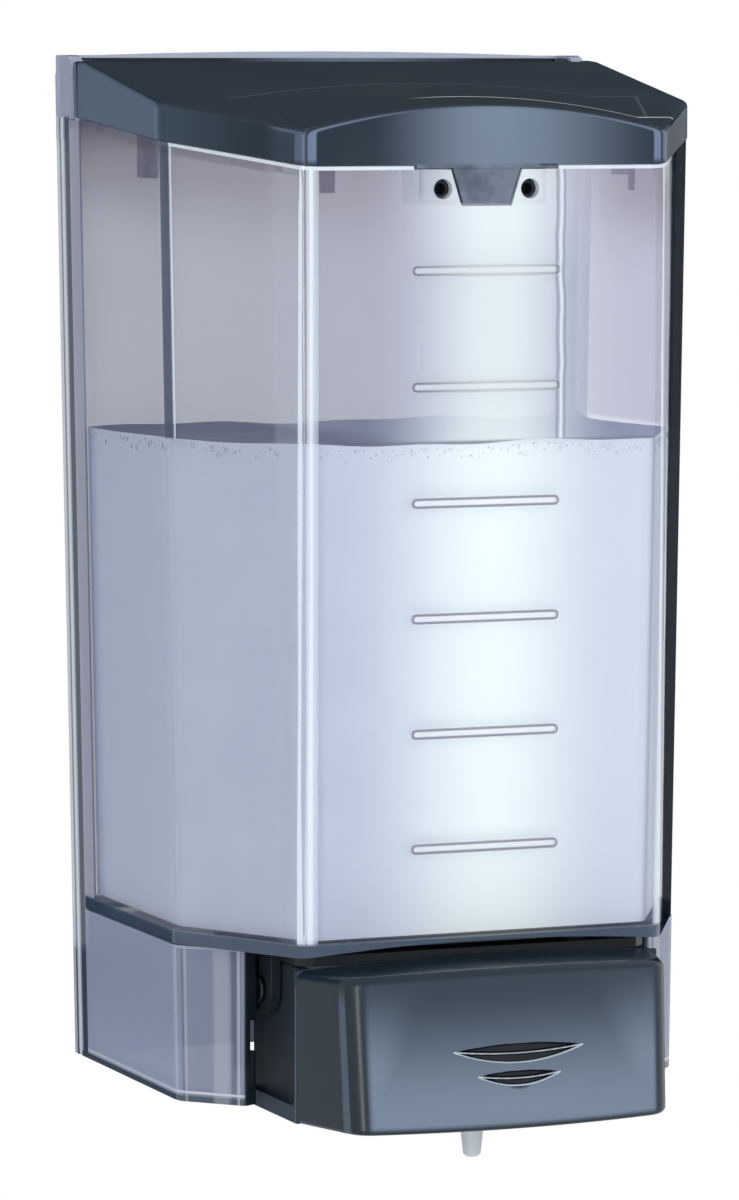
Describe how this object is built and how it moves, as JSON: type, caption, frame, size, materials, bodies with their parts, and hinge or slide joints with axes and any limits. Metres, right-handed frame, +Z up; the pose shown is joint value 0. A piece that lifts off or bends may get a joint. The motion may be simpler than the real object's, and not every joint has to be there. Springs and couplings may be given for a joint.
{
  "type": "wall soap dispenser",
  "caption": "Wall soap dispenser with a clear tank of liquid soap, a dark hinged lid with a key latch, a push cover on a piston pump, and a nozzle below.",
  "frame": {"origin": "middle of the wall bracket's back face, on the wall, 125 mm above the lower edge of its skirts", "axes": "+X to the right, +Y into the wall, +Z up; the dispenser stands out towards -Y"},
  "size_m": [0.14, 0.1324, 0.2657],
  "materials": {
    "bracket_plastic": "clear smoke plastic, polished",
    "tank_plastic": "clear smoke plastic, polished",
    "soap": "white liquid soap",
    "cover_plastic": "dark glossy moulded plastic",
    "dark_plastic": "black moulded plastic",
    "steel": "stainless steel",
    "pump_plastic": "natural moulded plastic",
    "seal_rubber": "black rubber",
    "nozzle_plastic": "milky translucent plastic"
  },
  "bodies": {
    "housing": {"wall_bracket": "bracket_plastic", "reservoir": "tank_plastic", "liquid_soap": "soap", "lock_spring": "steel", "pump_chassis": "dark_plastic", "chassis_screw_1": "steel", "chassis_screw_2": "steel", "chassis_screw_3": "steel", "chassis_screw_4": "steel", "lever_pin_left": "steel", "lever_pin_right": "steel", "pump_body": "pump_plastic", "coupling_nut": "pump_plastic", "inlet_gasket": "seal_rubber", "inlet_seat": "pump_plastic", "inlet_spring": "steel", "pump_gland": "pump_plastic", "gland_seal": "seal_rubber", "return_spring": "steel"},
    "cover": {"lid": "cover_plastic"},
    "lever": {"push_cover": "cover_plastic"},
    "piston": {"plunger": "pump_plastic", "plunger_seal": "seal_rubber", "outlet_elbow": "pump_plastic", "outlet_spring": "steel", "nozzle": "nozzle_plastic"},
    "latch": {"lock_bar": "dark_plastic"},
    "inlet_valve": {"inlet_ball": "steel"},
    "outlet_valve": {"outlet_ball": "steel"}
  },
  "joints": [
    {"name": "lid_hinge", "type": "hinge", "parent": "housing", "child": "cover", "pos_m": [0, -0.0075, 0.121], "axis": [-1, 0, 0], "range_deg": [0, 90]},
    {"name": "lever_pivot", "type": "hinge", "parent": "housing", "child": "lever", "pos_m": [0, -0.086, -0.097], "axis": [1, 0, 0], "range_deg": [0, 16], "stiffness_Nm_per_rad": 0.6, "springref_deg": -11.46},
    {"name": "plunger_slide", "type": "slide", "parent": "housing", "child": "piston", "axis": [0, 1, 0], "range_m": [0, 0.0058], "deforming": ["return_spring"]},
    {"name": "lock_slide", "type": "slide", "parent": "housing", "child": "latch", "axis": [0, 1, 0], "range_m": [-0.0015, 0.001], "stiffness_N_per_m": 200, "deforming": ["lock_spring"]},
    {"name": "inlet_ball_slide", "type": "slide", "parent": "housing", "child": "inlet_valve", "axis": [0, 0, -1], "range_m": [0, 0.0015], "stiffness_N_per_m": 40, "springref_m": -0.002, "deforming": ["inlet_spring"]},
    {"name": "outlet_ball_slide", "type": "slide", "parent": "piston", "child": "outlet_valve", "axis": [0, 0, -1], "range_m": [0, 0.001], "stiffness_N_per_m": 30, "springref_m": -0.002, "deforming": ["outlet_spring"]}
  ],
  "couplings": [
    {"joint": "plunger_slide", "follows": "lever_pivot", "m_per_rad": 0.0203}
  ]
}
